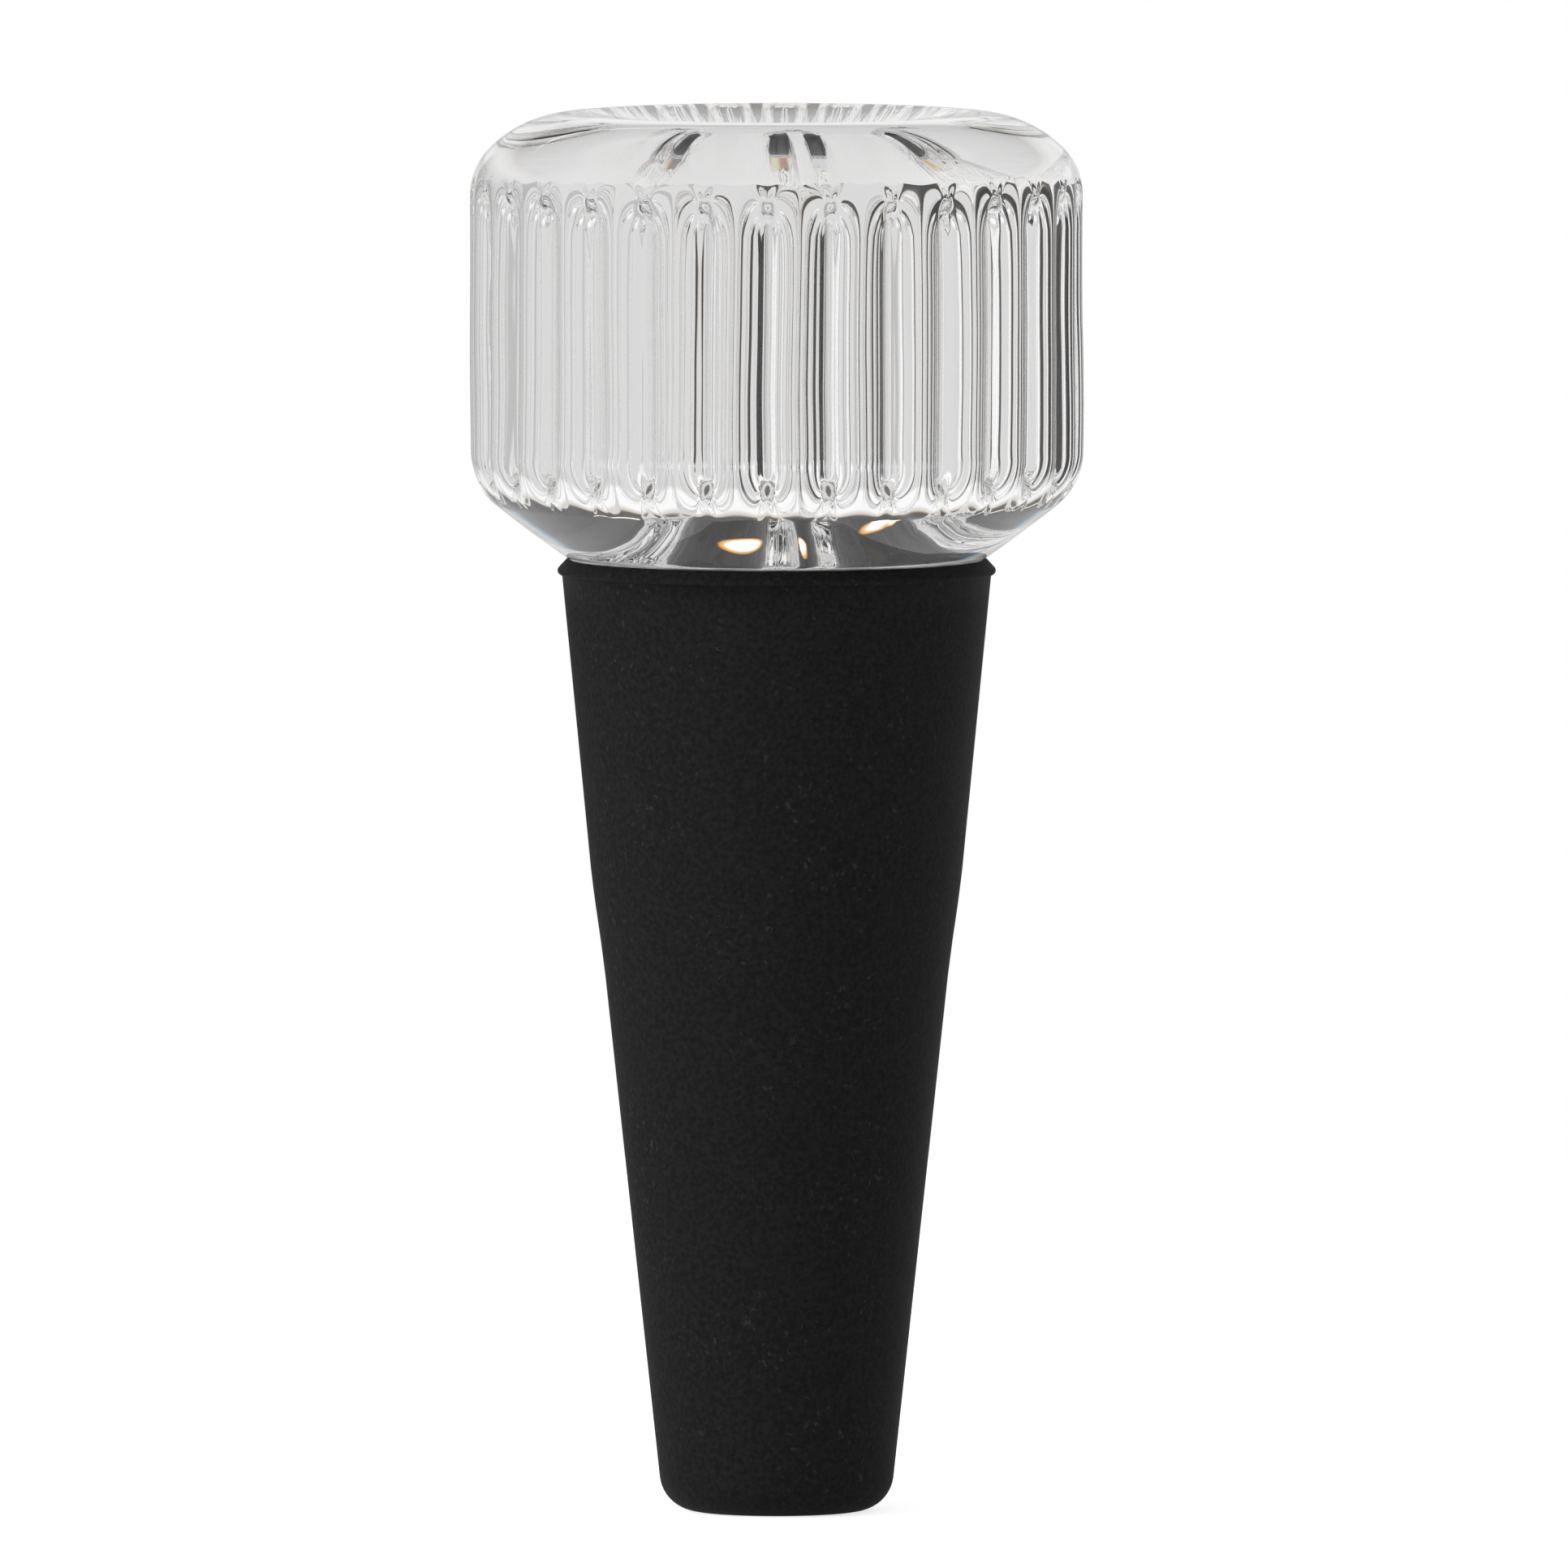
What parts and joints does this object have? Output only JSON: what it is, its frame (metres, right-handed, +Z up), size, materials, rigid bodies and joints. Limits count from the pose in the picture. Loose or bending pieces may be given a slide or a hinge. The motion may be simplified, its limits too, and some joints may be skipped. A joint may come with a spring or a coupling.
{
  "type": "wine stopper",
  "caption": "Wine stopper with a ribbed clear crystal knob, a dished top and a tapered black rubber plug that wedges in a bottle neck.",
  "frame": {"origin": "middle of the plug's flat tip, at the bottom of the upright stopper", "axes": "+Z up along the stopper's axis, from the plug's tip to the knob; -Y towards the viewer, +X to the viewer's right"},
  "size_m": [0.035, 0.035, 0.08],
  "materials": {
    "crystal": "polished",
    "rubber": "matte"
  },
  "bodies": {
    "root": {"glass_knob": "crystal", "rubber_plug": "rubber"}
  },
  "joints": []
}
